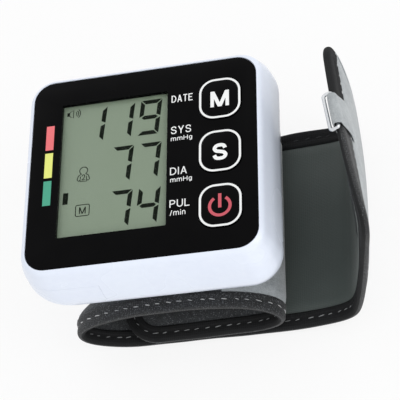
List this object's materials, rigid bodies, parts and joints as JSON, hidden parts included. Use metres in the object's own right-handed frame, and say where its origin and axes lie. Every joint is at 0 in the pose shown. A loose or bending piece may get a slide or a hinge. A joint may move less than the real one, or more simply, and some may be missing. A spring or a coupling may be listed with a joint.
{
  "type": "wrist blood pressure monitor",
  "caption": "Blood pressure monitor with a display and button panel on a curled wrist cuff, whose tail stands up as a hinged flap with a pull ring.",
  "frame": {"origin": "on the surface that the cuff rests on, below the middle of the display panel", "axes": "+X right across the display towards the buttons, +Y to the display's upper edge, +Z out of the display"},
  "size_m": [0.0971, 0.067, 0.0583],
  "materials": {
    "white_shell": "glossy moulded white",
    "black_gloss": "high gloss black",
    "clear_window": "clear polished",
    "lcd_panel": "grey-green display",
    "grey_plastic": "moulded grey",
    "dark_plastic": "moulded dark grey",
    "board": "green solder mask",
    "dark_rubber": "matte rubber",
    "clear_silicone": "translucent silicone",
    "steel": "plated steel",
    "cell_jacket": "printed metal jacket",
    "grey_plush": "light grey brushed loop fabric",
    "dark_nylon": "smooth dark grey nylon",
    "dark_tape": "dark woven edge tape with white stitches",
    "bladder_film": "welded film",
    "felt_core": "felt interlining"
  },
  "bodies": {
    "monitor": {"front_shell": "white_shell", "back_shell": "white_shell", "front_panel": "black_gloss", "display_window": "clear_window", "lcd_glass": "lcd_panel", "lcd_frame": "grey_plastic", "elastomer_connector": "dark_rubber", "rubber_keypad": "dark_rubber", "main_board": "board", "controller_chip": "dark_plastic", "storage_capacitor": "dark_plastic", "pressure_sensor": "grey_plastic", "buzzer": "dark_plastic", "board_screw_1": "steel", "board_screw_2": "steel", "case_screw_1": "steel", "case_screw_2": "steel", "case_screw_3": "steel", "case_screw_4": "steel", "pump_motor": "steel", "pump_head": "grey_plastic", "pump_diaphragm": "dark_rubber", "release_valve": "dark_plastic", "air_manifold": "grey_plastic", "pump_hose": "clear_silicone", "valve_hose": "clear_silicone", "sensor_hose": "clear_silicone", "port_hose": "clear_silicone", "air_port": "grey_plastic", "battery_tray": "white_shell", "outer_cell": "cell_jacket", "inner_cell": "cell_jacket", "bridge_contact": "steel", "outer_contact": "steel", "inner_contact": "steel", "mount_screw_1": "steel", "mount_screw_2": "steel", "cuff_mount_plate": "dark_plastic", "cuff_cover": "grey_plush", "cuff_lining": "dark_nylon", "cuff_stiffener": "grey_plastic", "air_bladder": "bladder_film", "tail_core": "felt_core", "cuff_binding": "dark_tape"},
    "power_button": {"power_button": "black_gloss", "power_plunger": "dark_rubber"},
    "set_button": {"set_button": "black_gloss", "set_plunger": "dark_rubber"},
    "memory_button": {"memory_button": "black_gloss", "memory_plunger": "dark_rubber"},
    "battery_door": {"battery_door": "white_shell"},
    "tail_flap": {"flap_cover": "grey_plush", "flap_lining": "dark_nylon", "flap_core": "felt_core", "flap_binding": "dark_tape", "hook_patch": "dark_tape", "end_tab": "grey_plush"},
    "pull_ring": {"metal_ring": "steel"},
    "pump_crank": {"pump_crank": "steel"},
    "valve_plunger": {"valve_plunger": "steel"}
  },
  "joints": [
    {"name": "power_button_press", "type": "slide", "parent": "monitor", "child": "power_button", "axis": [0, 0, -1], "range_m": [0, 0.0008], "stiffness_N_per_m": 1000, "springref_m": -0.0004},
    {"name": "set_button_press", "type": "slide", "parent": "monitor", "child": "set_button", "axis": [0, 0, -1], "range_m": [0, 0.0008], "stiffness_N_per_m": 1000, "springref_m": -0.0004},
    {"name": "memory_button_press", "type": "slide", "parent": "monitor", "child": "memory_button", "axis": [0, 0, -1], "range_m": [0, 0.0008], "stiffness_N_per_m": 1000, "springref_m": -0.0004},
    {"name": "battery_door_slide", "type": "slide", "parent": "monitor", "child": "battery_door", "axis": [-1, 0, 0], "range_m": [0, 0.024]},
    {"name": "flap_fold", "type": "hinge", "parent": "monitor", "child": "tail_flap", "pos_m": [0.0506, 0, 0.0075], "axis": [0.0221, 0.9996, -0.0158], "range_deg": [-15, 60]},
    {"name": "ring_swing", "type": "hinge", "parent": "tail_flap", "child": "pull_ring", "pos_m": [0.05399, 0.0056, 0.05556], "axis": [-0.1533, 0.9819, -0.1115], "range_deg": [0, 195]},
    {"name": "crank_turn", "type": "hinge", "parent": "monitor", "child": "pump_crank", "pos_m": [0.02, -0.004, 0.0345], "axis": [0, 1, 0], "continuous": true},
    {"name": "valve_stroke", "type": "slide", "parent": "monitor", "child": "valve_plunger", "axis": [0, 1, 0], "range_m": [0, 0.0008], "stiffness_N_per_m": 100, "springref_m": -0.0004}
  ]
}
